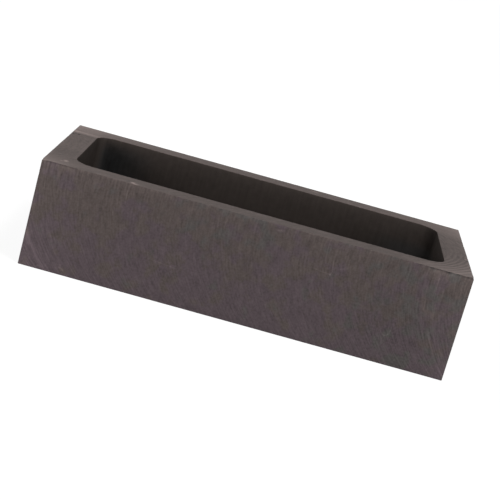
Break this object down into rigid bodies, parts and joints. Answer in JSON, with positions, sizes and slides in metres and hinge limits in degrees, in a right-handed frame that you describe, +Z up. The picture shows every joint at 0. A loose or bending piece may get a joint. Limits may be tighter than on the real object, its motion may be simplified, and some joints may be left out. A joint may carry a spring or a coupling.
{
  "type": "ingot mould",
  "caption": "Open rectangular ingot mould milled from one graphite block, with a deep round-cornered pocket, slightly drafted walls and a flat rim.",
  "frame": {"origin": "centre of the flat underside", "axes": "+X along the mould's length, +Y across it to the back side wall, +Z up out of the pocket's mouth"},
  "size_m": [0.2, 0.095, 0.05],
  "materials": {
    "graphite": "satin"
  },
  "bodies": {
    "root": {"mould_block": "graphite"}
  },
  "joints": []
}
